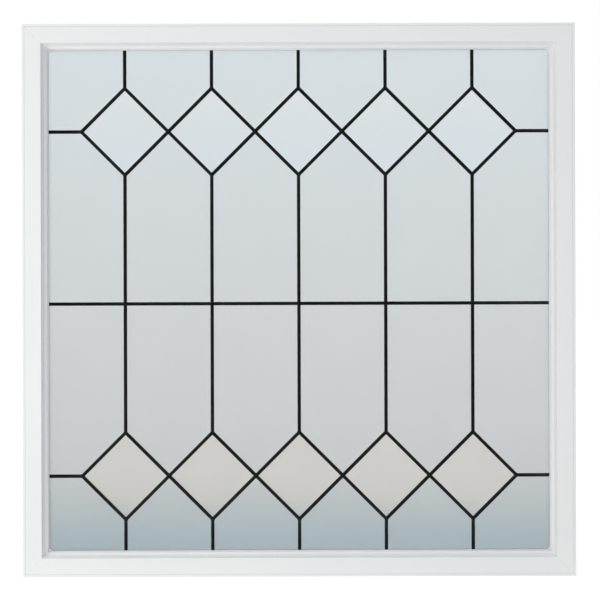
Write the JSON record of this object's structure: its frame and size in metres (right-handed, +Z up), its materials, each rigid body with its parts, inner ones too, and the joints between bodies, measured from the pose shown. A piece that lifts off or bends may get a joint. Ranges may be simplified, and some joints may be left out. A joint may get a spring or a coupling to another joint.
{
  "type": "decorative glass window",
  "caption": "Square picture window: white frame, mitred beads and a sealed unit of frosted glass leaded with rows of diamonds.",
  "frame": {"origin": "middle of the sill's underside, halfway through the frame's depth", "axes": "+Z up, -Y out of the face that is seen (the beaded room face), +Y towards the outside, X along the sill with +X at the viewer's right"},
  "size_m": [0.9018, 0.0826, 0.9017],
  "materials": {
    "frame_vinyl": "smooth satin white vinyl with faint extrusion lines",
    "bead_vinyl": "smooth satin white vinyl",
    "dark_came": "near-black patina, low sheen",
    "clear_glass": "clear and polished",
    "obscure_glass": "satin frosted, seedy surface",
    "upper_diamond_glass": "frosted with a fine mottle",
    "lower_diamond_glass": "frosted with a fine mottle",
    "spacer_metal": "pale satin finish",
    "black_sealant": "matt sealant",
    "grey_seal": "soft matt seal",
    "support_rubber": "hard rubber"
  },
  "bodies": {
    "root": {"back_pane": "clear_glass", "back_spacer": "spacer_metal", "bead_gasket": "grey_seal", "bead_head": "bead_vinyl", "bead_left_jamb": "bead_vinyl", "bead_right_jamb": "bead_vinyl", "bead_sill": "bead_vinyl", "border_came_head": "dark_came", "border_came_left_jamb": "dark_came", "border_came_right_jamb": "dark_came", "border_came_sill": "dark_came", "bottom_lite_1": "obscure_glass", "bottom_lite_2": "obscure_glass", "bottom_lite_3": "obscure_glass", "bottom_lite_4": "obscure_glass", "bottom_lite_5": "obscure_glass", "bottom_lite_6": "obscure_glass", "came_lattice": "dark_came", "edge_packers": "support_rubber", "edge_sealant": "black_sealant", "frame_head": "frame_vinyl", "frame_left_jamb": "frame_vinyl", "frame_right_jamb": "frame_vinyl", "frame_sill": "frame_vinyl", "front_pane": "clear_glass", "front_spacer": "spacer_metal", "glazing_tape": "grey_seal", "lower_diamond_1": "lower_diamond_glass", "lower_diamond_2": "lower_diamond_glass", "lower_diamond_3": "lower_diamond_glass", "lower_diamond_4": "lower_diamond_glass", "lower_diamond_5": "lower_diamond_glass", "lower_lite_1": "obscure_glass", "lower_lite_2": "obscure_glass", "lower_lite_3": "obscure_glass", "lower_lite_4": "obscure_glass", "lower_lite_5": "obscure_glass", "lower_lite_6": "obscure_glass", "setting_blocks": "support_rubber", "top_lite_1": "obscure_glass", "top_lite_2": "obscure_glass", "top_lite_3": "obscure_glass", "top_lite_4": "obscure_glass", "top_lite_5": "obscure_glass", "top_lite_6": "obscure_glass", "upper_diamond_1": "upper_diamond_glass", "upper_diamond_2": "upper_diamond_glass", "upper_diamond_3": "upper_diamond_glass", "upper_diamond_4": "upper_diamond_glass", "upper_diamond_5": "upper_diamond_glass", "upper_lite_1": "obscure_glass", "upper_lite_2": "obscure_glass", "upper_lite_3": "obscure_glass", "upper_lite_4": "obscure_glass", "upper_lite_5": "obscure_glass", "upper_lite_6": "obscure_glass"}
  },
  "joints": []
}
